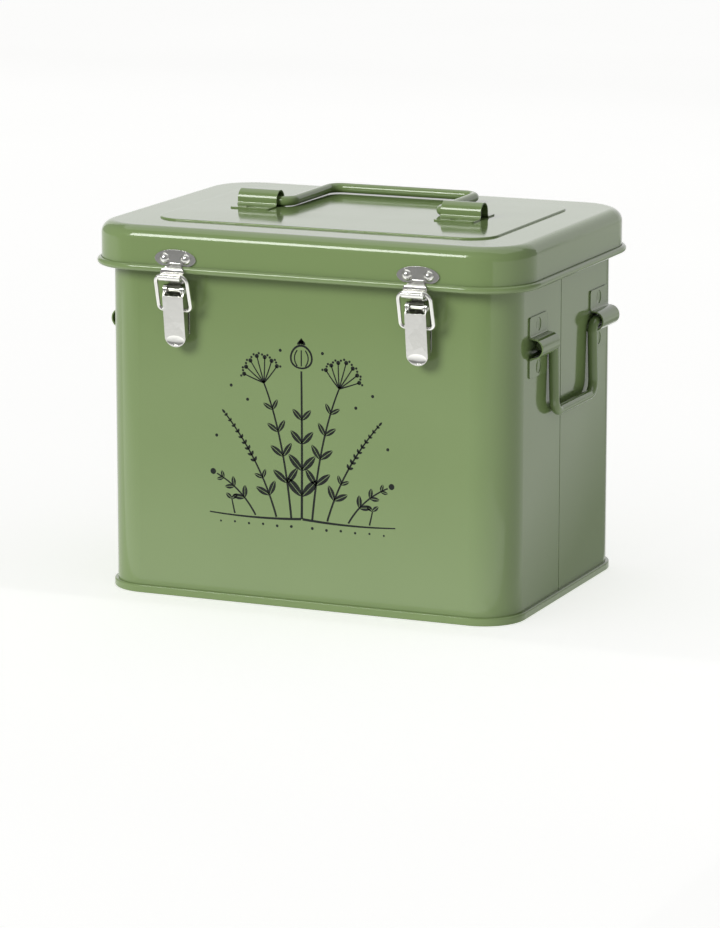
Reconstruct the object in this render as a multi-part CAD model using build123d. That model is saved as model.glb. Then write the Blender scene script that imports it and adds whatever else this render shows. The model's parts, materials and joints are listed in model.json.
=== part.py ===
from build123d import *
import math
import os

# Garden seed organizer box: a glossy painted sheet-steel tin with a hinged lid,
# two toggle latches, a bail handle on the lid and one on each end.
# Millimetres. +Z is up, -Y is the latched front, the origin is the middle of the footprint on the floor.

# ---- body -------------------------------------------------------------------------------------
body_width = 270.0           # outside, along X
body_depth = 194.0           # outside, along Y
corner_radius = 25.0         # upright corners, outside
body_sheet = 0.6
body_curl_radius = 2.5       # outward rolled edge at the mouth
base_sheet = 0.6
base_recess = 2.6            # underside of the pan above the floor
base_rim_height = 5.0        # double seam that the tin stands on
base_rim_overhang = 2.2
base_rim_land = 1.2          # seam metal inside the wall
base_rim_edge = 1.0          # rounding of the seam's outer edges
seam_lift = 0.8              # end of the wall above the floor, inside the seam
seam_y = -9.0                # upright lock seam on the right end wall
seam_groove = 0.8
seam_groove_depth = 0.4
seam_fold_width = 8.0

# ---- lid --------------------------------------------------------------------------------------
lid_top = 231.7              # flat border of the lid above the floor
lid_skirt_height = 27.2      # border to the underside of the rolled edge
lid_sheet = 0.7
lid_overhang = 8.0           # skirt outside the body wall
lid_edge_radius = 8.0
lid_bead_radius = 2.2        # rolled edge of the skirt
lid_bead_offset = 0.6        # middle of the rolled edge outside the skirt's face
lid_bead_mouth = 0.25        # end of the rolled sheet from the skirt's face
lid_headroom = 0.75          # lid above the body's rolled edge
panel_inset = 31.0           # raised panel inside the skirt
panel_corner = 18.0
panel_rise = 1.0
panel_round = 0.8

# ---- divider ----------------------------------------------------------------------------------
divider_sheet = 0.8
divider_height = 150.0
divider_gap = 0.25           # to its guides
divider_hem = 6.0            # folded top edge
guide_sheet = 0.6
guide_depth = 7.0
guide_flange = 6.0

# ---- handles ----------------------------------------------------------------------------------
rod_diameter = 6.2
rod_gap = 0.3                # rod off its sheet at the pivot
clip_sheet = 0.8
clip_span = 37.5             # flange tip to flange tip
clip_radius = 6.2            # outside of the half-round
clip_bend = 2.0
clip_corner = 2.0
weld_spacing = 26.0          # spot-weld dimples on one clip
weld_radius = 4.1
weld_rim = 0.3               # upright rim of a dimple
weld_depth = 0.3             # hollow below the rim
rod_end_margin = 12.0        # rod ends short of the clip's outer end
bail_pivot_bend = 6.0        # rod's centre line, where it leaves the clip
bail_corner_bend = 8.5

top_clip_length = 26.6       # along the rod
top_clip_height = 10.2       # half-round above the panel
top_clip_shift = -1.5        # middle of the two clips from the middle of the lid
top_clip_x = 68.8
top_arm_gap = 2.4            # between a bail arm and its clip
top_bail_reach = 66.5        # pivot to grip bar
top_bail_tilt = 0.2          # degrees that the folded bail stands off the panel

side_clip_length = 29.5
side_clip_height = 9.4
side_clip_spread = 52.8      # clip to the middle of the handle
side_handle_y = 3.3          # middle of the handle, behind the middle of the end wall
side_pivot_drop = 38.5       # below the lid's rolled edge
side_arm_gap = 0.65
side_bail_reach = 44.4
side_bail_tilt = 1.5         # degrees that the hanging bail stands off the wall

# ---- toggle latches ---------------------------------------------------------------------------
latch_x = 80.0
latch_sheet = 1.0
rivet_head_radius = 3.4
rivet_head_height = 2.1
rivet_shank_radius = 1.5
rivet_tail_radius = 2.4
rivet_tail_height = 0.6
small_head_radius = 2.3
small_head_height = 1.1

keeper_width = 27.4
keeper_height = 11.6
keeper_rise = 6.6            # middle of the plate above the middle of the lid's rolled edge
keeper_rivet_spacing = 14.05
keeper_bead_gap = 0.1        # plate over the lid's rolled edge
keeper_neck_top = 7.2        # neck's width at the plate
keeper_neck_width = 15.6     # neck's width at the rolled edge
keeper_lip_width = 13.8
neck_bend = 1.2
neck_lean_low = 0.7          # lean of the neck ends this far above the middle of the rolled edge
neck_lean_rise = 2.9         # height over which the neck leans out
bead_clearance = 1.95        # neck outside the lid's rolled edge

loop_wire = 2.5
loop_bar_drop = 2.9          # hooked bar below the middle of the lid's rolled edge
loop_width = 21.4            # leg to leg at the lever, on centre lines
loop_top_width = 20.9        # leg to leg at the hook
loop_bow = 0.6               # rise of the hooked bar's middle
loop_bow_radius = 60.0
loop_top_bend = 5.0
loop_bottom_bend = 3.0
loop_end_depth = 0.8         # wire end inside the lever's flange
hook_gap_back = 0.6          # bar to the neck
hook_gap_front = 0.9         # bar to the lip
hook_gap_below = 1.05

lever_pin_out = 9.3          # lever pin off the front wall
lever_pin_drop = 12.3        # below the middle of the lid's rolled edge
lever_pin_radius = 1.35
lever_width = 13.8
lever_flange = 4.5
lever_lobe = 3.2
lever_top_drop = 3.6         # upper edge of the face below the pin
lever_top_out = 13.4         # outer face off the wall there
lever_flange_drop = 30.5     # lower end of the flanges below the pin
lever_low_out = 9.9          # outer face off the wall there
lever_flange_rake = 1.0      # back corner of the flange higher than its front corner
lever_tip_length = 5.2       # rounded thumb tip below the flanges
lever_dish_width = 12.0
lever_dish_height = 6.2
lever_dish_depth = 0.6
lever_dish_drop = 0.9        # middle of the dish below the flanges
loop_pivot_out = 9.3         # loop's pivot off the front wall
loop_pivot_drop = 12.4       # below the lever pin
pivot_clearance = 0.05       # radial, pins in their holes
side_clearance = 0.3         # between moving flanges
base_top_rise = 4.8          # base plate above the lever pin
base_bottom_drop = 28.4      # base plate below the lever pin
base_rivet_drops = (10.4, 22.4)
ear_foot = 7.4               # ear's root below the pin

# ---- rear hinges ------------------------------------------------------------------------------
hinge_x = 80.5
hinge_axis_out = 8.1         # pin off the lid's skirt
hinge_bead_gap = 0.4         # lid leaf over the lid's rolled edge
hinge_width = 32.0
hinge_sheet = 1.0
hinge_knuckle = 2.65         # barrel radius
hinge_pin_radius = 1.3
hinge_middle = 14.0          # lid knuckle length
hinge_gap = 0.25             # between knuckles
hinge_pin_head = 1.9
hinge_pin_head_height = 0.7
hinge_bend = 1.2
hinge_step_drop = 8.0        # body leaf leaves the wall this far below the pin
hinge_leaf_drop = 27.6
hinge_lid_leaf_rise = 14.5
hinge_rivet_spacing = 18.0
hinge_body_rivet_drop = 20.0
hinge_lid_rivet_rise = 9.0

cut_past = 1.0               # cutters run past a sheet by this much

# ---- derived places ---------------------------------------------------------------------------
half_x = body_width / 2
half_y = body_depth / 2
skirt_x = half_x + lid_overhang
skirt_y = half_y + lid_overhang
skirt_corner = corner_radius + lid_overhang
skirt_bottom = lid_top - lid_skirt_height
panel_top = lid_top + panel_rise
body_top = lid_top - lid_sheet - lid_headroom
curl_z = body_top - body_curl_radius
bead_z = skirt_bottom + lid_bead_radius
bead_out = lid_bead_radius + lid_bead_offset    # bead beyond the skirt's outer face
floor_of_box = base_recess + base_sheet

rod_radius = rod_diameter / 2
rod_out = rod_radius + rod_gap
top_arm_x = top_clip_x - top_clip_length / 2 - top_arm_gap - rod_radius
side_arm_y = side_clip_spread - side_clip_length / 2 - side_arm_gap - rod_radius
side_pivot_z = skirt_bottom - side_pivot_drop

wire_radius = loop_wire / 2
keeper_z = bead_z + keeper_rise
loop_bar_z = bead_z - loop_bar_drop
lever_pin_z = bead_z - lever_pin_drop
loop_pivot_z = lever_pin_z - loop_pivot_drop
lever_top_z = lever_pin_z - lever_top_drop
lever_flange_z = lever_pin_z - lever_flange_drop
base_top_z = lever_pin_z + base_top_rise
base_bottom_z = lever_pin_z - base_bottom_drop
base_rivet_zs = [lever_pin_z - drop for drop in base_rivet_drops]
base_width = lever_width - 2 * latch_sheet - 2 * side_clearance
wall_y = -half_y
pin_y = wall_y - lever_pin_out
loop_pivot_y = wall_y - loop_pivot_out
bar_y = -skirt_y - bead_out - bead_clearance - latch_sheet - hook_gap_back - wire_radius

hinge_axis_y = skirt_y + hinge_axis_out
hinge_axis_z = bead_z + lid_bead_radius + hinge_bead_gap + hinge_sheet - hinge_knuckle
hinge_step_z = hinge_axis_z - hinge_step_drop
hinge_leaf_bottom_z = hinge_axis_z - hinge_leaf_drop
hinge_lid_leaf_top_z = hinge_axis_z + hinge_lid_leaf_rise
hinge_body_rivet_z = hinge_axis_z - hinge_body_rivet_drop
hinge_lid_rivet_z = hinge_axis_z + hinge_lid_rivet_rise


def save(name, *solids):
    """Writes one named piece, or one group of like pieces."""
    shape = solids[0] if len(solids) == 1 else Compound(children=list(solids))
    shape.label = name
    export_step(shape, os.path.join("parts", name + ".step"))


def one(shape):
    """The single solid of a shape that was joined from touching pieces."""
    return shape.solids()[0] if len(shape.solids()) == 1 else shape


def outline(x_half, y_half, radius):
    """Rounded rectangle path, starting in the middle of the front edge."""
    with BuildLine() as path:
        Line((0, -y_half), (x_half - radius, -y_half))
        CenterArc((x_half - radius, radius - y_half), radius, -90, 90)
        Line((x_half, radius - y_half), (x_half, y_half - radius))
        CenterArc((x_half - radius, y_half - radius), radius, 0, 90)
        Line((x_half - radius, y_half), (radius - x_half, y_half))
        CenterArc((radius - x_half, y_half - radius), radius, 90, 90)
        Line((-x_half, y_half - radius), (-x_half, radius - y_half))
        CenterArc((radius - x_half, radius - y_half), radius, 180, 90)
        Line((radius - x_half, -y_half), (0, -y_half))
    return path.wire()


def rounded_block(x_half, y_half, radius, low, high):
    """Upright block with rounded corners."""
    return Pos(0, 0, low) * extrude(RectangleRounded(2 * x_half, 2 * y_half, radius), high - low)


def edge_ring(section, x_half, y_half, radius):
    """Sweeps a section, given as outward and up, round the outline of a wall."""
    start = Plane(origin=(0, -y_half, 0), x_dir=(0, -1, 0), z_dir=(-1, 0, 0))
    return sweep(start * section, path=outline(x_half, y_half, radius))


def profile_strip(points, bend, sheet, width):
    """Bent strip: a centre line in the YZ plane, given as (y, z) points, and its width along X."""
    with BuildPart() as strip:
        with BuildSketch(Plane.YZ):
            with BuildLine():
                FilletPolyline(*points, radius=bend)
                offset(amount=sheet / 2, side=Side.BOTH)
            make_face()
        extrude(amount=width / 2, both=True)
    return strip.part


def tube_y(radius, centre, low, high):
    """Round bar along Y from low to high, at centre (x, z)."""
    return Pos(centre[0], (low + high) / 2, centre[1]) * Rot(90, 0, 0) * Cylinder(radius, high - low)


def tube_x(radius, centre, low, high):
    """Round bar along X from low to high, at centre (y, z)."""
    return Pos((low + high) / 2, centre[0], centre[1]) * Rot(0, 90, 0) * Cylinder(radius, high - low)


def dome(radius, height):
    """Rivet head standing on the XY plane."""
    ball = (radius ** 2 + height ** 2) / (2 * height)
    room = Pos(0, 0, height / 2) * Box(3 * radius, 3 * radius, height)
    return Pos(0, 0, height - ball) * Sphere(ball) & room


def rivet(x, z, outer, inner, facing, radius, height):
    """Domed rivet through sheets between y = outer and y = inner; facing is the sign of Y it looks to."""
    turn = Rot(90, 0, 0) if facing < 0 else Rot(-90, 0, 0)
    head = Pos(x, outer, z) * turn * dome(radius, height)
    low = min(outer, inner)
    high = max(outer, inner)
    shank = tube_y(rivet_shank_radius, (x, z), low, high)
    tail_end = inner - facing * rivet_tail_height
    tail = tube_y(rivet_tail_radius, (x, z), min(inner, tail_end), max(inner, tail_end))
    return one(head + shank + tail)


def rivet_hole(x, z, face_a, face_b):
    """Cutter for a rivet's shank through the sheet between two faces."""
    return tube_y(rivet_shank_radius, (x, z), min(face_a, face_b) - cut_past, max(face_a, face_b) + cut_past)


def mirror_x(shape):
    return mirror(shape, about=Plane.YZ)


def corners_at(face, x, y):
    """Corners of a flat face at (x, y) and (-x, y)."""
    return [v for v in face.vertices() if math.isclose(abs(v.X), x) and math.isclose(v.Y, y, abs_tol=1e-6)]


# ---- tin body ---------------------------------------------------------------------------------
def make_body_shell():
    wall = Pos(-body_sheet / 2, (seam_lift + curl_z) / 2) * Rectangle(body_sheet, curl_z - seam_lift)
    ring = Circle(body_curl_radius) - Circle(body_curl_radius - body_sheet)
    mouth = Rectangle(body_curl_radius, body_curl_radius, align=(Align.MAX, Align.MAX))
    rolled = Pos(body_curl_radius - body_sheet, curl_z) * (ring - mouth)
    shell = edge_ring(wall + rolled, half_x, half_y, corner_radius)
    seam_low = base_rim_height
    seam_high = curl_z - body_curl_radius
    seam_middle = (seam_low + seam_high) / 2
    groove = Pos(half_x, seam_y, seam_middle) * Box(2 * seam_groove_depth, seam_groove, seam_high - seam_low)
    fold_x = half_x - 1.5 * body_sheet
    fold = Pos(fold_x, seam_y, seam_middle) * Box(body_sheet, seam_fold_width, seam_high - seam_low)
    shell = shell + fold - groove
    return one(shell - body_rivet_holes())


def body_rivet_holes():
    holes = []
    for x in (-latch_x, latch_x):
        for z in base_rivet_zs:
            holes.append(rivet_hole(x, z, wall_y, wall_y + body_sheet))
    for x in hinge_rivet_xs():
        holes.append(rivet_hole(x, hinge_body_rivet_z, half_y - body_sheet, half_y))
    return Compound(children=holes)


def make_base_pan():
    inner = base_rim_land + body_sheet
    width = inner + base_rim_overhang
    ring = Pos(base_rim_overhang - width / 2, base_rim_height / 2) * Rectangle(width, base_rim_height)
    outer_corners = ring.vertices().group_by(Axis.X)[-1]
    ring = fillet(outer_corners, base_rim_edge)
    slot_height = base_rim_height - seam_lift
    slot = Pos(-body_sheet / 2, seam_lift + slot_height / 2) * Rectangle(body_sheet, slot_height)
    rim = edge_ring(ring - slot, half_x, half_y, corner_radius)
    pan = rounded_block(half_x - inner, half_y - inner, corner_radius - inner, base_recess, floor_of_box)
    return one(rim + pan)


# ---- lid --------------------------------------------------------------------------------------
def lid_block(inset, low, high):
    """Lid form, inset from the outer faces: skirt, rounded edge and raised panel."""
    radius = skirt_corner - inset
    block = rounded_block(skirt_x - inset, skirt_y - inset, radius, low, high - inset)
    block = fillet(block.faces().sort_by(Axis.Z)[-1].edges(), lid_edge_radius - inset)
    reach = panel_inset + inset
    top = high + panel_rise - inset
    panel = rounded_block(skirt_x - reach, skirt_y - reach, panel_corner - inset, high - lid_edge_radius, top)
    panel = fillet(panel.faces().sort_by(Axis.Z)[-1].edges(), panel_round)
    return block + panel


def make_lid_shell():
    # The skirt runs down behind its rolled edge and ends inside the sheet of the roll.
    bead_line = lid_bead_radius - lid_sheet / 2
    wall_in = lid_bead_offset + lid_sheet / 2
    low = bead_z - math.sqrt(bead_line ** 2 - wall_in ** 2)
    shell = lid_block(0, low, lid_top) - lid_block(lid_sheet, low - cut_past, lid_top)
    roll = Pos(lid_bead_offset, bead_z) * (Circle(lid_bead_radius) - Circle(lid_bead_radius - lid_sheet))
    room = 3 * lid_bead_radius
    mouth = Pos(lid_bead_mouth, bead_z) * Rectangle(room, room, align=(Align.MAX, Align.MIN))
    behind = Pos(-lid_sheet, bead_z) * Rectangle(room, room, align=(Align.MAX, Align.CENTER))
    shell = shell + edge_ring(roll - mouth - behind, skirt_x, skirt_y, skirt_corner)
    return one(shell - lid_rivet_holes())


def lid_rivet_holes():
    holes = []
    for x in keeper_rivet_xs():
        holes.append(rivet_hole(x, keeper_z, -skirt_y, lid_sheet - skirt_y))
    for x in hinge_rivet_xs():
        holes.append(rivet_hole(x, hinge_lid_rivet_z, skirt_y - lid_sheet, skirt_y))
    return Compound(children=holes)


def keeper_rivet_xs():
    half = keeper_rivet_spacing / 2
    return [side * latch_x + step * half for side in (-1, 1) for step in (-1, 1)]


def hinge_rivet_xs():
    half = hinge_rivet_spacing / 2
    return [side * hinge_x + step * half for side in (-1, 1) for step in (-1, 1)]


# ---- inside divider ---------------------------------------------------------------------------
def make_guide(facing):
    """Channel inside the front (facing +1) or rear (facing -1) wall, holding the divider's edge."""
    slot = divider_sheet + 2 * divider_gap
    back = Pos(0, guide_sheet / 2) * Rectangle(slot + 2 * guide_flange, guide_sheet)
    cheek = Rectangle(guide_sheet, guide_depth, align=(Align.CENTER, Align.MIN))
    offset_x = slot / 2 + guide_sheet / 2
    face = back + Pos(offset_x, 0) * cheek + Pos(-offset_x, 0) * cheek
    guide = extrude(face, floor_of_box + divider_height - base_rim_height)
    guide = Pos(0, body_sheet - half_y, base_rim_height) * guide
    return guide if facing > 0 else mirror(guide, about=Plane.XZ)


def make_divider():
    end = half_y - body_sheet - guide_sheet - divider_gap
    sheet = Pos(0, 0, floor_of_box + divider_height / 2) * Box(divider_sheet, 2 * end, divider_height)
    hem_length = 2 * (end - guide_depth - divider_gap)
    hem_z = floor_of_box + divider_height - divider_hem / 2
    hem = Pos(0, 0, hem_z) * Box(3 * divider_sheet, hem_length, divider_hem)
    hem = fillet(hem.edges().filter_by(Axis.Y), divider_sheet)
    divider = sheet + hem
    # Bottom corners are notched over the seam at the foot of the wall.
    notch_y = half_y - base_rim_land - body_sheet - divider_gap
    notch_z = base_rim_height + divider_gap
    notch = 2 * base_rim_height
    for step in (-1, 1):
        y = step * (notch_y + notch / 2)
        divider = divider - Pos(0, y, notch_z - notch / 2) * Box(notch, notch, notch)
    return one(divider)


# ---- bail handles -----------------------------------------------------------------------------
def make_clip(length, height):
    """Half-round clip on the XY plane, its rod along X."""
    side_height = height - clip_radius
    inner = clip_radius - clip_sheet
    flange = Pos(0, clip_sheet / 2) * Rectangle(clip_span, clip_sheet)
    hump = Pos(0, side_height / 2) * Rectangle(2 * clip_radius, side_height)
    hump = hump + Pos(0, side_height) * Circle(clip_radius)
    hollow = Pos(0, side_height / 2) * Rectangle(2 * inner, side_height)
    hollow = hollow + Pos(0, side_height) * Circle(inner)
    below = Pos(0, -clip_radius / 2) * Rectangle(2 * clip_span, clip_radius)
    face = flange + hump - hollow - below
    # The sheet keeps its thickness round the bend at each foot.
    face = fillet(corners_at(face, clip_radius, clip_sheet), clip_bend)
    face = fillet(corners_at(face, inner, 0), clip_bend + clip_sheet)
    upright = Plane(origin=(0, 0, 0), x_dir=(0, 1, 0), z_dir=(1, 0, 0))
    clip = extrude(upright * face, length / 2, both=True)
    tips = clip.edges().filter_by(Axis.Z).group_by(lambda e: round(abs(e.center().Y), 3))[-1]
    clip = fillet(tips, clip_corner)
    hollow_z = clip_sheet - weld_rim
    for side in (-1, 1):
        y = side * weld_spacing / 2
        clip = clip - Pos(0, y, hollow_z) * Rot(180, 0, 0) * dome(weld_radius, weld_depth)
        clip = clip - Pos(0, y, hollow_z + cut_past / 2) * Cylinder(weld_radius, cut_past)
    return one(clip)


def make_bail(clip_end, arm, reach):
    """Rod bail in the XY plane: ends on the X axis inside the clips, grip bar at y = reach."""
    end = clip_end - rod_end_margin
    points = [(-end, 0), (-arm, 0), (-arm, reach), (arm, reach), (arm, 0), (end, 0)]
    bends = [bail_pivot_bend, bail_corner_bend, bail_corner_bend, bail_pivot_bend]
    with BuildLine() as route:
        FilletPolyline(*points, radius=bends)
    section = Plane(origin=(-end, 0, 0), z_dir=(1, 0, 0)) * Circle(rod_radius)
    rod = sweep(section, path=route.wire())
    end_edges = rod.faces().filter_by(GeomType.PLANE).edges()
    return one(chamfer(end_edges, rod_radius / 6))


top_place = Pos(0, 0, panel_top)
# A side handle is drawn flat, with its bail hanging towards -Y, and stood against the right end wall.
side_place = Plane(origin=(half_x, side_handle_y, side_pivot_z), x_dir=(0, 1, 0), z_dir=(1, 0, 0))


# ---- toggle latch -----------------------------------------------------------------------------
# One latch is drawn in the middle of the front and moved to each side.
def make_keeper():
    """Oval plate on the skirt, with a neck over the lid's rolled edge and a hook for the wire loop."""
    plate_back = -skirt_y
    plate = Pos(0, plate_back, keeper_z) * Rot(90, 0, 0)
    plate = plate * extrude(Ellipse(keeper_width / 2, keeper_height / 2), latch_sheet)
    # The oval is trimmed along the rolled edge of the lid.
    trim_z = bead_z + lid_bead_radius + keeper_bead_gap - keeper_height / 2
    plate = plate - Pos(0, plate_back, trim_z) * Box(keeper_width, 4 * latch_sheet, keeper_height)
    plate_mid = plate_back - latch_sheet / 2
    neck_y = bar_y + wire_radius + hook_gap_back + latch_sheet / 2
    lip_y = bar_y - wire_radius - hook_gap_front - latch_sheet / 2
    hook_radius = (neck_y - lip_y) / 2
    hook_low = loop_bar_z - wire_radius - hook_gap_below - latch_sheet
    hook_z = hook_low + latch_sheet / 2 + hook_radius
    lean_low = bead_z + neck_lean_low
    lean_high = lean_low + neck_lean_rise
    with BuildPart() as strip:
        with BuildSketch(Plane.YZ):
            with BuildLine():
                FilletPolyline(
                    (plate_mid, keeper_z),
                    (plate_mid, lean_high),
                    (neck_y, lean_low),
                    (neck_y, hook_z),
                    radius=neck_bend,
                )
                CenterArc(((neck_y + lip_y) / 2, hook_z), hook_radius, 0, -180)
                offset(amount=latch_sheet / 2, side=Side.BOTH)
            make_face()
        extrude(amount=keeper_neck_width / 2, both=True)
    # Seen from the front, the neck widens from the plate to the rolled edge and narrows to the lip.
    half_widths = [(keeper_neck_top, keeper_z), (keeper_neck_top, lean_high), (keeper_neck_width, bead_z)]
    half_widths.append((keeper_lip_width, hook_low))
    right = [(width / 2, z) for width, z in half_widths]
    left = [(-x, z) for x, z in reversed(right)]
    front = Plane(origin=(0, plate_back, 0), x_dir=(1, 0, 0), z_dir=(0, -1, 0))
    with BuildSketch(front) as neck_shape:
        with BuildLine():
            Polyline(*right, *left, close=True)
        make_face()
    keeper = plate + (strip.part & extrude(neck_shape.sketch, keeper_width, both=True))
    for step in (-1, 1):
        x = step * keeper_rivet_spacing / 2
        keeper = keeper - rivet_hole(x, keeper_z, plate_back - latch_sheet, plate_back)
    return one(keeper)


def make_latch_base():
    front = wall_y - latch_sheet
    height = base_top_z - base_bottom_z
    plate = Pos(0, (front + wall_y) / 2, base_bottom_z + height / 2) * Box(base_width, latch_sheet, height)
    with BuildSketch(Plane.YZ) as side:
        with BuildLine():
            Polyline(
                (front, lever_pin_z - ear_foot),
                (pin_y, lever_pin_z - lever_lobe),
                (pin_y, lever_pin_z + lever_lobe),
                (front, base_top_z),
                close=True,
            )
        make_face()
        with Locations((pin_y, lever_pin_z)):
            Circle(lever_lobe)
    base = plate
    for step in (-1, 1):
        ear = extrude(side.sketch, latch_sheet)
        base = base + Pos(step * (base_width - latch_sheet) / 2 - latch_sheet / 2, 0, 0) * ear
    base = base - tube_x(lever_pin_radius + pivot_clearance, (pin_y, lever_pin_z), -base_width, base_width)
    for z in base_rivet_zs:
        base = base - rivet_hole(0, z, front, wall_y)
    return one(base)


def lever_face_y(z):
    """Outer face of the lever at a height; the lever leans in towards its tip."""
    share = (z - lever_flange_z) / (lever_top_z - lever_flange_z)
    return wall_y - lever_low_out - share * (lever_top_out - lever_low_out)


def make_lever():
    lean = math.atan2(lever_top_out - lever_low_out, lever_top_z - lever_flange_z)
    length = (lever_top_z - lever_flange_z) / math.cos(lean)
    half = lever_width / 2
    # Face: a plate with a rounded thumb tip, on a plane that leans with the lever.
    face_plane = Plane(
        origin=(0, lever_face_y(lever_flange_z), lever_flange_z),
        x_dir=(1, 0, 0),
        z_dir=(0, -math.cos(lean), -math.sin(lean)),
    )
    with BuildSketch() as outline_sketch:
        with BuildLine():
            Line((-half, 0), (-half, length))
            Line((-half, length), (half, length))
            Line((half, length), (half, 0))
            ThreePointArc((half, 0), (0, -lever_tip_length), (-half, 0))
        make_face()
    face = extrude(face_plane * outline_sketch.sketch, -latch_sheet)
    # Thumb dish: an oval hollow, cut by a flattened ball whose middle is as far out as the dish is deep.
    ball_height = 2 * lever_dish_depth
    spread = ball_height / math.sqrt(ball_height ** 2 - lever_dish_depth ** 2)
    ball = scale(Sphere(1), by=(spread * lever_dish_width / 2, spread * lever_dish_height / 2, ball_height))
    face = face - face_plane * Pos(0, -lever_dish_drop, lever_dish_depth) * ball
    # Flanges: from the face back towards the wall, with lobes round the pin.
    inner_y = latch_sheet / 2
    top_y = lever_face_y(lever_top_z) + inner_y
    low_y = lever_face_y(lever_flange_z) + inner_y
    with BuildSketch(Plane.YZ) as side:
        with BuildLine():
            Polyline(
                (top_y, lever_top_z),
                (low_y, lever_flange_z),
                (low_y + lever_flange, lever_flange_z + lever_flange_rake),
                (loop_pivot_y + lever_lobe, loop_pivot_z),
                (pin_y + lever_lobe, lever_pin_z),
                (pin_y, lever_pin_z + lever_lobe),
                close=True,
            )
        make_face()
        with Locations((pin_y, lever_pin_z)):
            Circle(lever_lobe)
    lever = face
    for step in (-1, 1):
        flange = extrude(side.sketch, latch_sheet)
        lever = lever + Pos(step * (lever_width - latch_sheet) / 2 - latch_sheet / 2, 0, 0) * flange
    pin_hole = lever_pin_radius + pivot_clearance
    wire_hole = wire_radius + pivot_clearance
    lever = lever - tube_x(pin_hole, (pin_y, lever_pin_z), -lever_width, lever_width)
    return one(lever - tube_x(wire_hole, (loop_pivot_y, loop_pivot_z), -lever_width, lever_width))


def make_lever_pin():
    head_face = lever_width / 2 + pivot_clearance
    pin = tube_x(lever_pin_radius, (pin_y, lever_pin_z), -head_face, head_face)
    head = dome(lever_lobe * 0.75, latch_sheet)
    for step in (-1, 1):
        pin = pin + Pos(step * head_face, pin_y, lever_pin_z) * Rot(0, 90 * step, 0) * head
    return one(pin)


def make_loop():
    """Wire loop: ends in the lever's flanges, bar in the keeper's hook."""
    rise = math.hypot(bar_y - loop_pivot_y, loop_bar_z - loop_pivot_z)
    lean = Vector(0, (bar_y - loop_pivot_y) / rise, (loop_bar_z - loop_pivot_z) / rise)
    plane = Plane(origin=(0, loop_pivot_y, loop_pivot_z), x_dir=(1, 0, 0), z_dir=Vector(1, 0, 0).cross(lean))
    end = lever_width / 2 - latch_sheet - loop_end_depth
    low = loop_width / 2
    top = loop_top_width / 2
    points = [(-end, 0), (-low, 0), (-top, rise), (0, rise + loop_bow), (top, rise), (low, 0), (end, 0)]
    bends = [loop_bottom_bend, loop_top_bend, loop_bow_radius, loop_top_bend, loop_bottom_bend]
    with BuildLine(plane) as route:
        FilletPolyline(*points, radius=bends)
    start = Plane(origin=plane.from_local_coords(Vector(-end, 0, 0)), z_dir=(-1, 0, 0))
    return one(sweep(start * Circle(wire_radius), path=route.wire()))


# ---- rear hinges ------------------------------------------------------------------------------
def knuckle(low, high):
    bore = hinge_pin_radius + pivot_clearance
    barrel = tube_x(hinge_knuckle, (hinge_axis_y, hinge_axis_z), low, high)
    return barrel, tube_x(bore, (hinge_axis_y, hinge_axis_z), low - cut_past, high + cut_past)


def hinge_spans():
    """X spans of the two body knuckles, either side of the lid's."""
    inner = hinge_middle / 2 + hinge_gap
    outer = hinge_width / 2
    return [(-outer, -inner), (inner, outer)]


def make_hinge_body_leaf():
    mid = half_y + hinge_sheet / 2
    reach_y = hinge_axis_y + hinge_knuckle - hinge_sheet / 2
    points = [(mid, hinge_leaf_bottom_z), (mid, hinge_step_z)]
    points += [(reach_y, hinge_step_z), (reach_y, hinge_axis_z)]
    leaf = profile_strip(points, hinge_bend, hinge_sheet, hinge_width)
    room = hinge_middle + 2 * hinge_gap
    window = 4 * hinge_knuckle
    leaf = leaf - Pos(0, hinge_axis_y, hinge_step_z + hinge_sheet + window / 2) * Box(room, window, window)
    for low, high in hinge_spans():
        barrel, bore = knuckle(low, high)
        leaf = leaf + barrel - bore
    for step in (-1, 1):
        x = step * hinge_rivet_spacing / 2
        leaf = leaf - rivet_hole(x, hinge_body_rivet_z, half_y, half_y + hinge_sheet)
    return one(leaf)


def make_hinge_lid_leaf():
    mid = skirt_y + hinge_sheet / 2
    bend_z = hinge_axis_z + hinge_knuckle - hinge_sheet / 2
    points = [(mid, hinge_lid_leaf_top_z), (mid, bend_z), (hinge_axis_y, bend_z)]
    plate = profile_strip(points[:2] + [(mid + hinge_bend * 2, bend_z)], hinge_bend, hinge_sheet, hinge_width)
    tongue = profile_strip(points, hinge_bend, hinge_sheet, hinge_middle)
    barrel, bore = knuckle(-hinge_middle / 2, hinge_middle / 2)
    leaf = plate + tongue + barrel - bore
    for step in (-1, 1):
        x = step * hinge_rivet_spacing / 2
        leaf = leaf - rivet_hole(x, hinge_lid_rivet_z, skirt_y, skirt_y + hinge_sheet)
    return one(leaf)


def make_hinge_pin():
    head_face = hinge_width / 2 + pivot_clearance
    pin = tube_x(hinge_pin_radius, (hinge_axis_y, hinge_axis_z), -head_face, head_face)
    for step in (-1, 1):
        head = Rot(0, 90 * step, 0) * dome(hinge_pin_head, hinge_pin_head_height)
        pin = pin + Pos(step * head_face, hinge_axis_y, hinge_axis_z) * head
    return one(pin)


# ---- build ------------------------------------------------------------------------------------
os.makedirs("parts", exist_ok=True)

save("body_shell", make_body_shell())
save("base_pan", make_base_pan())
save("lid_shell", make_lid_shell())
save("divider_guide_front", make_guide(1))
save("divider_guide_rear", make_guide(-1))
save("compartment_divider", make_divider())

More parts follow.
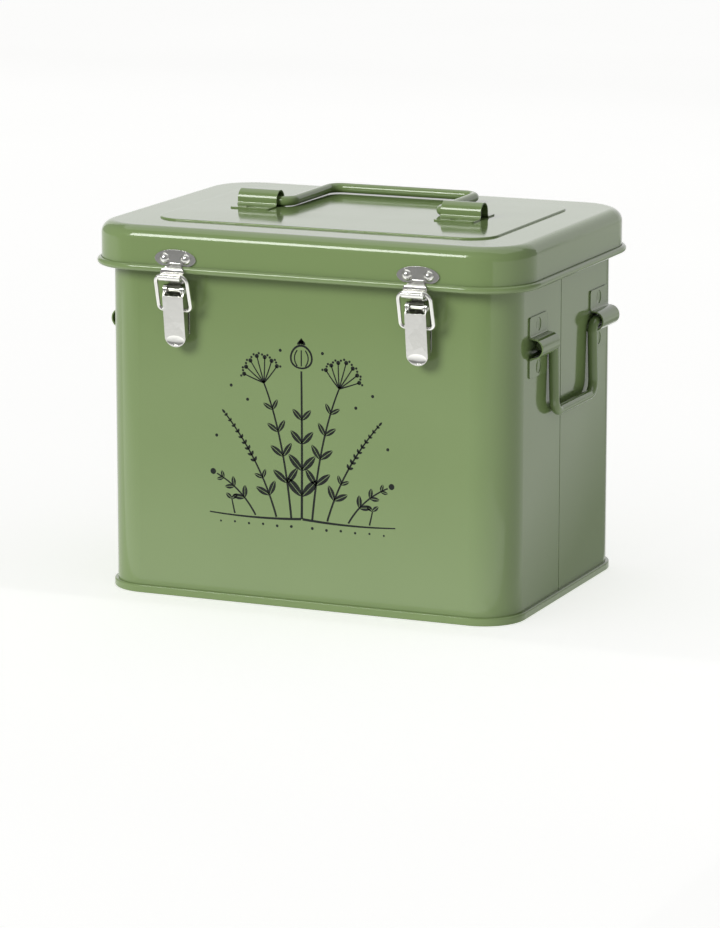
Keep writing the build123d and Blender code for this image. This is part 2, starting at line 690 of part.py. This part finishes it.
top_clip = make_clip(top_clip_length, top_clip_height)
save("top_handle_clip_left", top_place * Pos(top_clip_shift - top_clip_x, 0, 0) * top_clip)
save("top_handle_clip_right", top_place * Pos(top_clip_shift + top_clip_x, 0, 0) * top_clip)
top_bail = make_bail(top_clip_x + top_clip_length / 2, top_arm_x, top_bail_reach)
save("top_handle", top_place * Pos(0, 0, rod_out) * Rot(top_bail_tilt, 0, 0) * top_bail)

side_clip = make_clip(side_clip_length, side_clip_height)
side_bail = make_bail(side_clip_spread + side_clip_length / 2, side_arm_y, side_bail_reach)
hanging_bail = Rot(-side_bail_tilt, 0, 0) * mirror(side_bail, about=Plane.XZ)
right_bail = side_place * Pos(0, 0, rod_out) * hanging_bail
save("right_side_handle", right_bail)
save("left_side_handle", mirror_x(right_bail))
for place, y in (("front", -side_clip_spread), ("rear", side_clip_spread)):
    right_clip = side_place * Pos(y, 0, 0) * side_clip
    save("right_handle_clip_" + place, right_clip)
    save("left_handle_clip_" + place, mirror_x(right_clip))

keeper_face = -skirt_y - latch_sheet
base_face = wall_y - latch_sheet
body_face = wall_y + body_sheet
small_head = (small_head_radius, small_head_height)
for side, x in (("left", -latch_x), ("right", latch_x)):
    move = Pos(x, 0, 0)
    save(side + "_keeper", move * make_keeper())
    save(side + "_latch_base", move * make_latch_base())
    save(side + "_latch_lever", move * make_lever())
    save(side + "_lever_pin", move * make_lever_pin())
    save(side + "_latch_loop", move * make_loop())
    keeper_rivets = []
    for step in (-1, 1):
        place = x + step * keeper_rivet_spacing / 2
        keeper_rivets.append(
            rivet(place, keeper_z, keeper_face, lid_sheet - skirt_y, -1, rivet_head_radius, rivet_head_height)
        )
    base_rivets = []
    for z in base_rivet_zs:
        base_rivets.append(rivet(x, z, base_face, body_face, -1, *small_head))
    save(side + "_keeper_rivets", *keeper_rivets)
    save(side + "_latch_base_rivets", *base_rivets)

body_leaf_face = half_y + hinge_sheet
lid_leaf_face = skirt_y + hinge_sheet
body_inside = half_y - body_sheet
lid_inside = skirt_y - lid_sheet
for side, x in (("left", -hinge_x), ("right", hinge_x)):
    move = Pos(x, 0, 0)
    save(side + "_hinge_body_leaf", move * make_hinge_body_leaf())
    save(side + "_hinge_lid_leaf", move * make_hinge_lid_leaf())
    save(side + "_hinge_pin", move * make_hinge_pin())
    body_rivets = []
    lid_rivets = []
    for step in (-1, 1):
        place = x + step * hinge_rivet_spacing / 2
        body_rivets.append(rivet(place, hinge_body_rivet_z, body_leaf_face, body_inside, 1, *small_head))
        lid_rivets.append(rivet(place, hinge_lid_rivet_z, lid_leaf_face, lid_inside, 1, *small_head))
    save(side + "_hinge_body_rivets", *body_rivets)
    save(side + "_hinge_lid_rivets", *lid_rivets)

front_reach = bar_y - wire_radius - hook_gap_front - latch_sheet
print("lever pin", round(pin_y, 3), round(lever_pin_z, 3), "loop pivot", round(loop_pivot_z, 3))
print("hook bar", round(bar_y, 3), round(loop_bar_z, 3), "front reach", round(front_reach, 3))
rear_reach = hinge_axis_y + hinge_knuckle
print("hinge pin", round(hinge_axis_y, 3), round(hinge_axis_z, 3), "rear reach", round(rear_reach, 3))
print("top pivot", round(panel_top + rod_out, 3))
print("side pivot", round(half_x + rod_out, 3), round(side_pivot_z, 3))
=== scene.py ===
# %% [markdown]
# # Garden seed organizer box
#
# A glossy painted tin box that keeps seed packets standing in two rows. The metal parts come
# from the engineering model, already in place and in metres. This lesson gives them their
# finishes, prints the front, and sets up the floor, the light and the camera.

import json
import math

import bmesh
import bpy
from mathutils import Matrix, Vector


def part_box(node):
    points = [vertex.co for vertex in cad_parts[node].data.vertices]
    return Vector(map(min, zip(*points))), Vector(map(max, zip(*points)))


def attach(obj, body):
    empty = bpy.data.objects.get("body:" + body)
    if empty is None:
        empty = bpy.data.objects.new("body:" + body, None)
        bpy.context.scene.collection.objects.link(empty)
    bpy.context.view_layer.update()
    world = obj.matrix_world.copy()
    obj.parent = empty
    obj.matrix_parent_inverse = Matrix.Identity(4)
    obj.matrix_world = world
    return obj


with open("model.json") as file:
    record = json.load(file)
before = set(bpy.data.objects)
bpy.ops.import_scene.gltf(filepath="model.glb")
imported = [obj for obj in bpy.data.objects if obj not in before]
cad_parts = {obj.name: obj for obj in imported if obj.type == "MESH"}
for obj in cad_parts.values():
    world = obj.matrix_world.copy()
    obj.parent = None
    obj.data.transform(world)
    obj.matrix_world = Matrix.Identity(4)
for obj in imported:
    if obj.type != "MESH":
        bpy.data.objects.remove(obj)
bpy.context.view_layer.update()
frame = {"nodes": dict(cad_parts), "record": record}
print("pieces in the frame:", len(frame["nodes"]))

# %% [markdown]
# Two small helpers serve every finish. Hex colours are written for a screen, so each one is
# turned into the linear light that the shader works in. A material is a tree of nodes, and
# one function adds a node, sets its values and joins its links.


# %% Helpers for colours and nodes
def linear(hex_colour):
    """An sRGB colour such as 879a6d as linear red, green, blue and alpha."""
    values = [int(hex_colour[i:i + 2], 16) / 255 for i in (0, 2, 4)]
    return [v / 12.92 if v <= 0.04045 else ((v + 0.055) / 1.055) ** 2.4 for v in values] + [1.0]


def add_node(material, kind, values=None, links=None, **settings):
    """Adds a node: settings are its options, values its numbers, links the sockets that feed it."""
    tree = material.node_tree
    node = tree.nodes.new(kind)
    for name, value in settings.items():
        setattr(node, name, value)
    for name, value in (values or {}).items():
        node.inputs[name].default_value = value
    for name, socket in (links or {}).items():
        tree.links.new(socket, node.inputs[name])
    return node


def new_material(name):
    """An empty material with its output node."""
    material = bpy.data.materials.new(name)
    material.use_nodes = True
    material.node_tree.nodes.clear()
    return material


MM = 0.001
print("sage green in linear light:", [round(v, 3) for v in linear("6b7e50")])

# %% [markdown]
# ## Stoving enamel on tinplate
#
# The box is pressed from thin tinned steel, sprayed and baked. Baked enamel is a hard, glossy
# coat with an index of refraction near 1.5. Three things tell the eye that it is paint on
# sheet metal. The gloss is sharp. A faint orange peel about 1.5 mm wide ripples it. Over
# 80 mm or so, the thin sheet itself is not quite flat, so long reflections bend a little.


# %% Make the enamel
def make_enamel(name, shade_a, shade_b, sheet_wave):
    enamel = new_material(name)
    place = add_node(enamel, "ShaderNodeTexCoord")
    # Spray and oven leave clouds of slightly different shade, about 60 mm across.
    cloud_size = 60 * MM
    clouds = add_node(
        enamel,
        "ShaderNodeTexNoise",
        {"Scale": 1 / cloud_size, "Detail": 3.0, "Roughness": 0.55},
        {"Vector": place.outputs["Object"]},
    )
    shade = add_node(
        enamel,
        "ShaderNodeMix",
        {"A": linear(shade_a), "B": linear(shade_b)},
        {"Factor": clouds.outputs["Fac"]},
        data_type="RGBA",
    )
    # Handling leaves areas of slightly duller gloss, about 25 mm across.
    haze_size = 25 * MM
    haze = add_node(
        enamel,
        "ShaderNodeTexNoise",
        {"Scale": 1 / haze_size, "Detail": 4.0},
        {"Vector": place.outputs["Object"]},
    )
    dullness = add_node(
        enamel,
        "ShaderNodeMapRange",
        {"From Min": 0.3, "From Max": 0.7, "To Min": 0.07, "To Max": 0.12},
        {"Value": haze.outputs["Fac"]},
    )
    # Sheet edges are never knife sharp: paint rounds them over by a quarter of a millimetre.
    rounded = add_node(enamel, "ShaderNodeBevel", {"Radius": 0.25 * MM}, samples=4)
    wave_size = 80 * MM
    wave = add_node(
        enamel,
        "ShaderNodeTexNoise",
        {"Scale": 1 / wave_size, "Detail": 1.0, "Roughness": 0.4},
        {"Vector": place.outputs["Object"]},
    )
    wavy = add_node(
        enamel,
        "ShaderNodeBump",
        {"Strength": 1.0, "Distance": sheet_wave * MM},
        {"Height": wave.outputs["Fac"], "Normal": rounded.outputs["Normal"]},
    )
    peel_size = 1.5 * MM
    peel = add_node(
        enamel,
        "ShaderNodeTexNoise",
        {"Scale": 1 / peel_size, "Detail": 2.0},
        {"Vector": place.outputs["Object"]},
    )
    peeled = add_node(
        enamel,
        "ShaderNodeBump",
        {"Strength": 1.0, "Distance": 0.004 * MM},
        {"Height": peel.outputs["Fac"], "Normal": wavy.outputs["Normal"]},
    )
    surface = add_node(
        enamel,
        "ShaderNodeBsdfPrincipled",
        {"IOR": 1.5},
        {
            "Base Color": shade.outputs["Result"],
            "Roughness": dullness.outputs["Result"],
            "Normal": peeled.outputs["Normal"],
        },
    )
    add_node(enamel, "ShaderNodeOutputMaterial", links={"Surface": surface.outputs["BSDF"]})
    return enamel


enamel_sheet = make_enamel("sage_stoving_enamel_sheet", "697c4e", "6d8052", sheet_wave=0.30)
enamel_rod = make_enamel("sage_stoving_enamel_rod", "677a4c", "6a7d4f", sheet_wave=0.02)
print("enamels:", enamel_sheet.name, enamel_rod.name)

# %% [markdown]
# ## Nickel plate and zinc plate
#
# The latches are pressed from mild steel and plated with bright nickel, a slightly warm
# silver. Pressing leaves fine drawing lines and small dents, so the mirror is soft. The rear
# hinges are plain zinc plate, greyer and duller, with a faint crystal pattern. Both are
# metals, so metallic is 1 and the index of refraction stays at its default.


# %% Make the plated metals
def make_plating(name, bright, dull, low_gloss, high_gloss, crystal_mm):
    plating = new_material(name)
    place = add_node(plating, "ShaderNodeTexCoord")
    crystals = add_node(
        plating,
        "ShaderNodeTexVoronoi",
        {"Scale": 1 / (crystal_mm * MM), "Randomness": 1.0},
        {"Vector": place.outputs["Object"]},
    )
    tint = add_node(
        plating,
        "ShaderNodeMix",
        {"A": linear(bright), "B": linear(dull)},
        {"Factor": crystals.outputs["Color"]},
        data_type="RGBA",
    )
    # Drawing lines run up the pressings. Real ones are finer than 0.1 mm; these are 0.4 mm.
    line_width = 0.4 * MM
    stretched = add_node(
        plating,
        "ShaderNodeMapping",
        {"Scale": (1 / line_width, 1 / line_width, 0.03 / line_width)},
        {"Vector": place.outputs["Object"]},
    )
    lines = add_node(
        plating,
        "ShaderNodeTexNoise",
        {"Scale": 1.0, "Detail": 3.0},
        {"Vector": stretched.outputs["Vector"]},
    )
    gloss = add_node(
        plating,
        "ShaderNodeMapRange",
        {"From Min": 0.3, "From Max": 0.7, "To Min": low_gloss, "To Max": high_gloss},
        {"Value": lines.outputs["Fac"]},
    )
    rounded = add_node(plating, "ShaderNodeBevel", {"Radius": 0.3 * MM}, samples=4)
    dent_size = 4 * MM
    dents = add_node(
        plating,
        "ShaderNodeTexNoise",
        {"Scale": 1 / dent_size, "Detail": 1.0},
        {"Vector": place.outputs["Object"]},
    )
    dented = add_node(
        plating,
        "ShaderNodeBump",
        {"Strength": 1.0, "Distance": 0.05 * MM},
        {"Height": dents.outputs["Fac"], "Normal": rounded.outputs["Normal"]},
    )
    scored = add_node(
        plating,
        "ShaderNodeBump",
        {"Strength": 0.5, "Distance": 0.01 * MM},
        {"Height": lines.outputs["Fac"], "Normal": dented.outputs["Normal"]},
    )
    surface = add_node(
        plating,
        "ShaderNodeBsdfPrincipled",
        {"Metallic": 1.0},
        {
            "Base Color": tint.outputs["Result"],
            "Roughness": gloss.outputs["Result"],
            "Normal": scored.outputs["Normal"],
        },
    )
    add_node(plating, "ShaderNodeOutputMaterial", links={"Surface": surface.outputs["BSDF"]})
    return plating


nickel = make_plating("bright_nickel_plate", "d9d9d4", "cecec8", 0.12, 0.20, crystal_mm=9)
zinc = make_plating("zinc_plate", "d2d4d4", "c4c7c8", 0.26, 0.40, crystal_mm=3)
print("platings:", nickel.name, zinc.name)

# %% [markdown]
# ## Give each metal piece its finish
#
# The record says which finish each piece has. Rods are round and stiff, so they get the
# enamel without the sheet's waviness.

# %% Assign finishes to the metal pieces
finish_of_slot = {"green_enamel": enamel_sheet, "nickel_plate": nickel, "zinc_plate": zinc}
slot_of_node = {row["node"]: row["material_slot"] for row in frame["record"]["subparts"]}
for node_name, piece in frame["nodes"].items():
    finish = finish_of_slot[slot_of_node[node_name]]
    if node_name.endswith("handle") or "_clip" in node_name:
        finish = enamel_rod
    piece.data.materials.clear()
    piece.data.materials.append(finish)
print("finished pieces:", len(slot_of_node))

# %% [markdown]
# ## The print on the front
#
# The front carries a one-colour screen print, a thin film of dark ink. Here it is a small bed
# of herbs of this lesson's own design: seed heads, flower umbels and spikes over a line of
# soil. It is drawn as flat shapes in millimetres, each made into a plate of real thickness,
# so it stays a mesh that can be exported.

# %% Places on the front wall
wall_low, wall_high = [Vector(corner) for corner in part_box("body_shell")]
WALL_Y = -0.097
INK_FILM = 0.06 * MM
print("front wall at y =", WALL_Y, "m; body shell from", tuple(wall_low), "to", tuple(wall_high))


def plate(bm, outline):
    """Adds one inked shape, given as (x, z) points in millimetres, to the print."""
    front = [bm.verts.new((x * MM, WALL_Y - INK_FILM, z * MM)) for x, z in outline]
    back = [bm.verts.new((x * MM, WALL_Y, z * MM)) for x, z in outline]
    bm.faces.new(front)
    bm.faces.new(list(reversed(back)))
    count = len(outline)
    for i in range(count):
        j = (i + 1) % count
        bm.faces.new((front[j], front[i], back[i], back[j]))


# %% [markdown]
# A stem is a ribbon along a bent line that gets thinner towards its tip. The line is a
# quadratic curve through three handles, which is all that a plant stem needs.


# %% Draw stems
def curve_point(handles, t):
    (x0, z0), (x1, z1), (x2, z2) = handles
    a, b, c = (1 - t) ** 2, 2 * t * (1 - t), t ** 2
    return a * x0 + b * x1 + c * x2, a * z0 + b * z1 + c * z2


def curve_angle(handles, t):
    (x0, z0), (x1, z1), (x2, z2) = handles
    dx = (1 - t) * (x1 - x0) + t * (x2 - x1)
    dz = (1 - t) * (z1 - z0) + t * (z2 - z1)
    return math.atan2(dz, dx)


def stem(bm, handles, thick, thin, steps=24):
    left, right = [], []
    for i in range(steps + 1):
        t = i / steps
        x, z = curve_point(handles, t)
        turn = curve_angle(handles, t)
        half = (thick + (thin - thick) * t) / 2
        left.append((x - half * math.sin(turn), z + half * math.cos(turn)))
        right.append((x + half * math.sin(turn), z - half * math.cos(turn)))
    plate(bm, left + right[::-1])


# %% [markdown]
# A leaf is two halves with a bare line between them, the way a stencil cutter shows a vein.


# %% Draw leaves, dots and rings
def leaf(bm, root, angle, length, width, vein=0.35, steps=12):
    for side in (-1, 1):
        points = []
        for i in range(steps + 1):
            t = i / steps
            swell = width / 2 * math.sin(math.pi * t) ** 0.8
            points.append((t * length, side * (vein / 2 + swell)))
        for i in range(steps, -1, -1):
            points.append((i / steps * length, side * vein / 2))
        turned = []
        for along, across in points:
            x = root[0] + along * math.cos(angle) - across * math.sin(angle)
            z = root[1] + along * math.sin(angle) + across * math.cos(angle)
            turned.append((x, z))
        plate(bm, turned if side < 0 else turned[::-1])


def dot(bm, centre, radius, steps=16):
    angles = [2 * math.pi * i / steps for i in range(steps)]
    x, z = centre
    plate(bm, [(x + radius * math.cos(a), z + radius * math.sin(a)) for a in angles])


print("drawing tools: stem, leaf, dot")

# %% [markdown]
# Three kinds of seed head give the bed its variety. An umbel is a fan of thin rays with a dot
# on each. A poppy head is an open ring with a toothed crown. A spike is a stack of small
# paired buds.


# %% Draw seed heads
def umbel(bm, foot, angle, reach, spread, rays=7):
    for i in range(rays):
        share = i / (rays - 1) - 0.5
        turn = angle + share * spread
        length = reach * (1 - 0.35 * abs(share))
        tip = (foot[0] + length * math.cos(turn), foot[1] + length * math.sin(turn))
        middle = ((foot[0] + tip[0]) / 2 - share * 1.5, (foot[1] + tip[1]) / 2)
        stem(bm, (foot, middle, tip), 0.9, 0.7, steps=6)
        dot(bm, tip, 1.35)
        for side in (-1, 1):
            lean = turn + side * 0.9
            dot(bm, (tip[0] + 2.3 * math.cos(lean), tip[1] + 2.3 * math.sin(lean)), 0.75, steps=10)


def poppy_head(bm, centre, radius, line=1.2):
    steps = 28
    outer, inner = [], []
    for i in range(steps):
        a = 2 * math.pi * i / steps
        swell = 1 + 0.12 * math.sin(a)
        outer.append((centre[0] + radius * math.cos(a), centre[1] + radius * swell * math.sin(a)))
        shrink = (radius - line) / radius
        inner_x = centre[0] + radius * shrink * math.cos(a)
        inner_z = centre[1] + radius * swell * shrink * math.sin(a)
        inner.append((inner_x, inner_z))
    half = steps // 2
    plate(bm, outer[:half + 1] + inner[half::-1])
    plate(bm, outer[half:] + [outer[0], inner[0]] + inner[:half - 1:-1])
    for share in (-0.5, 0, 0.5):
        low = (centre[0] + share * radius * 0.7, centre[1] - radius * 0.65)
        high = (centre[0] + share * radius * 0.7, centre[1] + radius * 0.65)
        bow = (centre[0] + share * radius * 1.7, centre[1])
        stem(bm, (low, bow, high), 0.8, 0.8, steps=10)
    crown = centre[1] + radius * 1.1
    for i in range(5):
        lean = math.pi / 2 + (i - 2) * 0.42
        root = (centre[0] + (i - 2) * radius * 0.18, crown)
        leaf(bm, root, lean, radius * 0.55, radius * 0.26, vein=0.0)


def spike(bm, handles, buds=9, size=3.4):
    for i in range(buds):
        t = 0.52 + 0.46 * i / (buds - 1)
        root = curve_point(handles, t)
        turn = curve_angle(handles, t)
        bud = size * (1 - 0.45 * i / (buds - 1))
        for side in (-1, 1):
            leaf(bm, root, turn + side * 0.75, bud, bud * 0.5, vein=0.0, steps=6)
    tip = curve_point(handles, 1.0)
    tip_turn = curve_angle(handles, 1.0)
    leaf(bm, tip, tip_turn, size, size * 0.45, vein=0.0, steps=6)


def leaf_pairs(bm, handles, places, length, width, lean=0.75):
    for i, t in enumerate(places):
        root = curve_point(handles, t)
        turn = curve_angle(handles, t)
        size = 1 - 0.4 * i / max(1, len(places) - 1)
        for side in (-1, 1):
            leaf(bm, root, turn + side * lean, length * size, width * size)


print("seed heads: umbel, poppy_head, spike")

# %% [markdown]
# The bed is laid out once for the right side and mirrored for the left, around one tall
# poppy in the middle. Sizes are in millimetres on the wall: the print is about 124 wide and
# 118 high, which suits a front of this size.

# %% Lay out the print
SOIL_Z = 56.0


def herb_bed(bm):
    middle = ((0, SOIL_Z), (0.5, 100), (0, 148))
    stem(bm, middle, 1.6, 1.2)
    leaf_pairs(bm, middle, (0.16, 0.34, 0.52, 0.68), 15, 5.2)
    poppy_head(bm, (0, 156), 7.6)
    for side in (-1, 1):
        tall = ((side * 7, SOIL_Z), (side * 12, 108), (side * 25, 139))
        stem(bm, tall, 1.4, 1.0)
        leaf_pairs(bm, tall, (0.22, 0.40, 0.58, 0.76), 12, 4.0)
        umbel(bm, tall[2], math.pi / 2 - side * 0.28, 17, 1.9)
        bowed = ((side * 17, SOIL_Z), (side * 27, 90), (side * 51, 118))
        stem(bm, bowed, 1.3, 0.9)
        spike(bm, bowed)
        leaf_pairs(bm, bowed, (0.20, 0.36), 10, 3.6)
        low = ((side * 31, SOIL_Z), (side * 40, 72), (side * 57, 80))
        stem(bm, low, 1.2, 0.9)
        leaf_pairs(bm, low, (0.35, 0.62, 0.86), 8, 3.2)
        dot(bm, (side * 59.5, 81.2), 1.9)
        sprout = ((side * 45, SOIL_Z), (side * 46, 60), (side * 47, 65))
        stem(bm, sprout, 1.1, 0.8, steps=8)
        leaf(bm, sprout[2], math.radians(90 - 50), 5, 2.4)
        leaf(bm, sprout[2], math.radians(90 + 50), 5, 2.4)
        soil = ((side * 0.5, SOIL_Z), (side * 32, SOIL_Z - 2.6), (side * 62, SOIL_Z - 0.4))
        stem(bm, soil, 1.6, 0.8)
        for i in range(6):
            dot(bm, (side * (7 + 9.5 * i), SOIL_Z - 5.2 - 0.4 * (i % 2)), 0.95 - 0.06 * i, steps=12)
        for x, z in ((14, 160), (36, 128), (47, 136), (57, 104)):
            dot(bm, (side * x, z), 1.0, steps=12)


sheet = bmesh.new()
herb_bed(sheet)
bmesh.ops.recalc_face_normals(sheet, faces=sheet.faces)
print_mesh = bpy.data.meshes.new("front_print")
sheet.to_mesh(print_mesh)
sheet.free()
front_print = bpy.data.objects.new("front_print", print_mesh)
bpy.context.scene.collection.objects.link(front_print)
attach(front_print, "body")
print("inked shapes:", len(print_mesh.polygons), "faces")

# %% [markdown]
# Screen ink is a matt film over the glossy enamel. It soaks nothing up, so its edge is clean,
# and its tone varies a little where the squeegee left it thinner.

# %% Make the ink
ink = new_material("screen_print_ink")
ink_place = add_node(ink, "ShaderNodeTexCoord")
squeegee_size = 6 * MM
squeegee = add_node(
    ink,
    "ShaderNodeTexNoise",
    {"Scale": 1 / squeegee_size, "Detail": 4.0},
    {"Vector": ink_place.outputs["Object"]},
)
ink_shade = add_node(
    ink,
    "ShaderNodeMix",
    {"A": linear("080d09"), "B": linear("121913")},
    {"Factor": squeegee.outputs["Fac"]},
    data_type="RGBA",
)
ink_surface = add_node(
    ink,
    "ShaderNodeBsdfPrincipled",
    {"IOR": 1.48, "Roughness": 0.6, "Specular IOR Level": 0.3},
    {"Base Color": ink_shade.outputs["Result"]},
)
add_node(ink, "ShaderNodeOutputMaterial", links={"Surface": ink_surface.outputs["BSDF"]})
print_mesh.materials.append(ink)
print("ink:", ink.name)

# %% [markdown]
# ## Floor
#
# The box stands on one large sheet of pale paper in a white studio. The paper glows a little by
# itself. That lifts the box's shadow, as the light of a big white room would.

# %% Lay the floor
floor_finish = new_material("white_paper_sweep")
paper_place = add_node(floor_finish, "ShaderNodeTexCoord")
paper_grain = add_node(
    floor_finish,
    "ShaderNodeTexNoise",
    {"Scale": 3.0, "Detail": 2.0},
    {"Vector": paper_place.outputs["Object"]},
)
paper_shade = add_node(
    floor_finish,
    "ShaderNodeMix",
    {"A": linear("f9f9f8"), "B": linear("fbfbfa")},
    {"Factor": paper_grain.outputs["Fac"]},
    data_type="RGBA",
)
paper = add_node(
    floor_finish,
    "ShaderNodeBsdfPrincipled",
    {"Roughness": 0.9, "Specular IOR Level": 0.1, "Emission Strength": 0.61},
    {"Base Color": paper_shade.outputs["Result"], "Emission Color": paper_shade.outputs["Result"]},
)
add_node(floor_finish, "ShaderNodeOutputMaterial", links={"Surface": paper.outputs["BSDF"]})

FLOOR_HALF = 12.0
floor_mesh = bpy.data.meshes.new("studio_floor")
floor_signs = ((-1, -1), (1, -1), (1, 1), (-1, 1))
floor_corners = [(x * FLOOR_HALF, y * FLOOR_HALF, 0.0) for x, y in floor_signs]
floor_mesh.from_pydata(floor_corners, [], [(0, 1, 2, 3)])
floor_mesh.materials.append(floor_finish)
floor = bpy.data.objects.new("studio_floor", floor_mesh)
bpy.context.scene.collection.objects.link(floor)
print("floor half width:", FLOOR_HALF, "m")

# %% [markdown]
# ## Light that falls on the box
#
# Two lights give the paint its brightness. A dim white sky fills in from all sides. A wide key
# light from the front left makes the front wall brighter than the end wall. The key stays out
# of reflections, because the gloss gets lights of its own below.

# %% Hang the sky and the key
world = bpy.data.worlds.new("white_dome")
bpy.context.scene.world = world
world.use_nodes = True
dome = world.node_tree.nodes["Background"]
dome.inputs["Color"].default_value = (1.0, 1.0, 1.0, 1.0)
dome.inputs["Strength"].default_value = 0.4

KEY_HEADING = Vector((0.37, 0.793, -0.485))
KEY_WIDTH = math.radians(26)
key_light = bpy.data.lights.new("front_left_key", "SUN")
key_light.energy = 2.85
key_light.angle = KEY_WIDTH
key = bpy.data.objects.new("front_left_key", key_light)
key.rotation_euler = KEY_HEADING.to_track_quat("-Z", "Y").to_euler()
key.visible_glossy = False
bpy.context.scene.collection.objects.link(key)
# The key leaves the paper alone, so the paper shows only the soft shade at the box's foot.
unlit = bpy.data.collections.new("not_lit_by_key")
unlit.objects.link(floor)
unlit.collection_objects[0].light_linking.link_state = "EXCLUDE"
key.light_linking.receiver_collection = unlit
print("dome strength:", dome.inputs["Strength"].default_value, "key:", key_light.energy)

# %% [markdown]
# ## Light that the gloss mirrors
#
# A photographer shapes the shine of enamel and nickel with white and dark cards. Each card here
# glows, and shows only in reflections. Its glow runs evenly from one strength to another along
# a direction, so a wall can mirror a gradient.

# %% Make a reflector card
def reflector(name, corners, along, near, far):
    """A glowing card that only shows in reflections.

    Its strength runs from near to far, each given as (distance along a direction, strength).
    """
    glow = new_material(name + "_glow")
    card_place = add_node(glow, "ShaderNodeTexCoord")
    distance = add_node(
        glow,
        "ShaderNodeVectorMath",
        {1: along},
        {0: card_place.outputs["Object"]},
        operation="DOT_PRODUCT",
    )
    strength = add_node(
        glow,
        "ShaderNodeMapRange",
        {"From Min": near[0], "From Max": far[0], "To Min": near[1], "To Max": far[1]},
        {"Value": distance.outputs["Value"]},
    )
    light = add_node(glow, "ShaderNodeEmission", links={"Strength": strength.outputs["Result"]})
    add_node(glow, "ShaderNodeOutputMaterial", links={"Surface": light.outputs["Emission"]})
    mesh = bpy.data.meshes.new(name)
    mesh.from_pydata(corners, [], [(0, 1, 2, 3)])
    mesh.materials.append(glow)
    card = bpy.data.objects.new(name, mesh)
    card.visible_camera = False
    card.visible_diffuse = False
    card.visible_shadow = False
    bpy.context.scene.collection.objects.link(card)
    return card


# %% [markdown]
# The cards stand upright, lie on the floor, or face the box from far off.

# %% Shape the cards
def upright(y, x0, x1, z0, z1):
    return [(x0, y, z0), (x1, y, z0), (x1, y, z1), (x0, y, z1)]


def flat(z, x0, x1, y0, y1):
    return [(x0, y0, z), (x1, y0, z), (x1, y1, z), (x0, y1, z)]


BOX_MIDDLE_HEIGHT = 0.2


def facing(direction, distance, width):
    """A square seen from the middle of the box in a direction, turned to face the box."""
    direction = Vector(direction).normalized()
    middle = Vector((0, 0, BOX_MIDDLE_HEIGHT)) + direction * distance
    across = direction.cross(Vector((0, 0, 1))).normalized() * width / 2
    rise = across.cross(direction)
    return [tuple(middle + i * across + j * rise) for i, j in ((-1, -1), (1, -1), (1, 1), (-1, 1))]


# %% [markdown]
# What each surface mirrors from the camera's side:
#
# - the lid, at a low angle, mirrors a bright wall behind the box
# - the upper front and the nickel mirror the dim room and the bright floor in front
# - the end wall mirrors a painted shadow of the box on the floor to the right, a card that glows
#   less near the box
# - the rounded edges, rods and rivets mirror a wide card overhead
# - they also mirror a small soft box on the front left, as one thin bright line

# %% Hang the cards
UP = (0, 0, 1)
BACK = (0, 1, 0)
ACROSS = (1, -0.25, 0)
reflector("back_card", upright(2.5, -3.2, 1.2, 0.15, 3.0), UP, (0.0, 1.17), (1.0, 1.17))
reflector("front_card", upright(-0.75, -1.6, 0.6, 0.0, 0.5), UP, (0.0, 0.9), (0.06, 0.3))
reflector("front_floor_card", flat(0.002, -1.2, 0.4, -0.75, -0.12), BACK, (-0.5, 0.9), (-0.15, 1.7))
# The side floor card is a painted shadow. Its glow is weakest by the box's right end and stands in
# for the box's shade on the floor.
reflector("painted_floor_shade_card", flat(0.002, 0.14, 1.2, -0.15, 1.4), ACROSS, (0.14, 0.4), (0.19, 0.92))
reflector("overhead_card", flat(3.0, -2.2, 2.2, -0.7, 2.4), UP, (0.0, 1.5), (4.0, 1.5))
SOFT_BOX_DIRECTION = (-0.40, -0.79, 0.46)
soft_box_corners = facing(SOFT_BOX_DIRECTION, distance=2.0, width=0.7)
reflector("edge_soft_box", soft_box_corners, UP, (0.0, 14.0), (3.0, 14.0))
print("cards: back, front, front floor, side floor, overhead, edge soft box")

# %% [markdown]
# ## Camera
#
# A long lens far away gives the nearly parallel edges of a catalogue picture. Yaw turns the
# view to the right end of the box, and pitch looks down on the lid.

# %% Place the camera
CAMERA_YAW = math.radians(23.14)
CAMERA_PITCH = math.radians(11.88)
LENS_MM = 215.86
SENSOR_MM = 36.0
CAMERA_PLACE = (1.0456, -2.4530, 0.6327)
camera_data = bpy.data.cameras.new("catalogue_camera")
camera_data.lens = LENS_MM
camera_data.sensor_width = SENSOR_MM
camera_data.sensor_fit = "HORIZONTAL"
camera_data.clip_end = 60.0
camera = bpy.data.objects.new("catalogue_camera", camera_data)
camera.location = CAMERA_PLACE
camera.rotation_euler = (math.pi / 2 - CAMERA_PITCH, 0.0, CAMERA_YAW)
bpy.context.scene.collection.objects.link(camera)
bpy.context.scene.camera = camera
bpy.context.scene.view_settings.view_transform = "Standard"
print("camera at", tuple(camera.location))
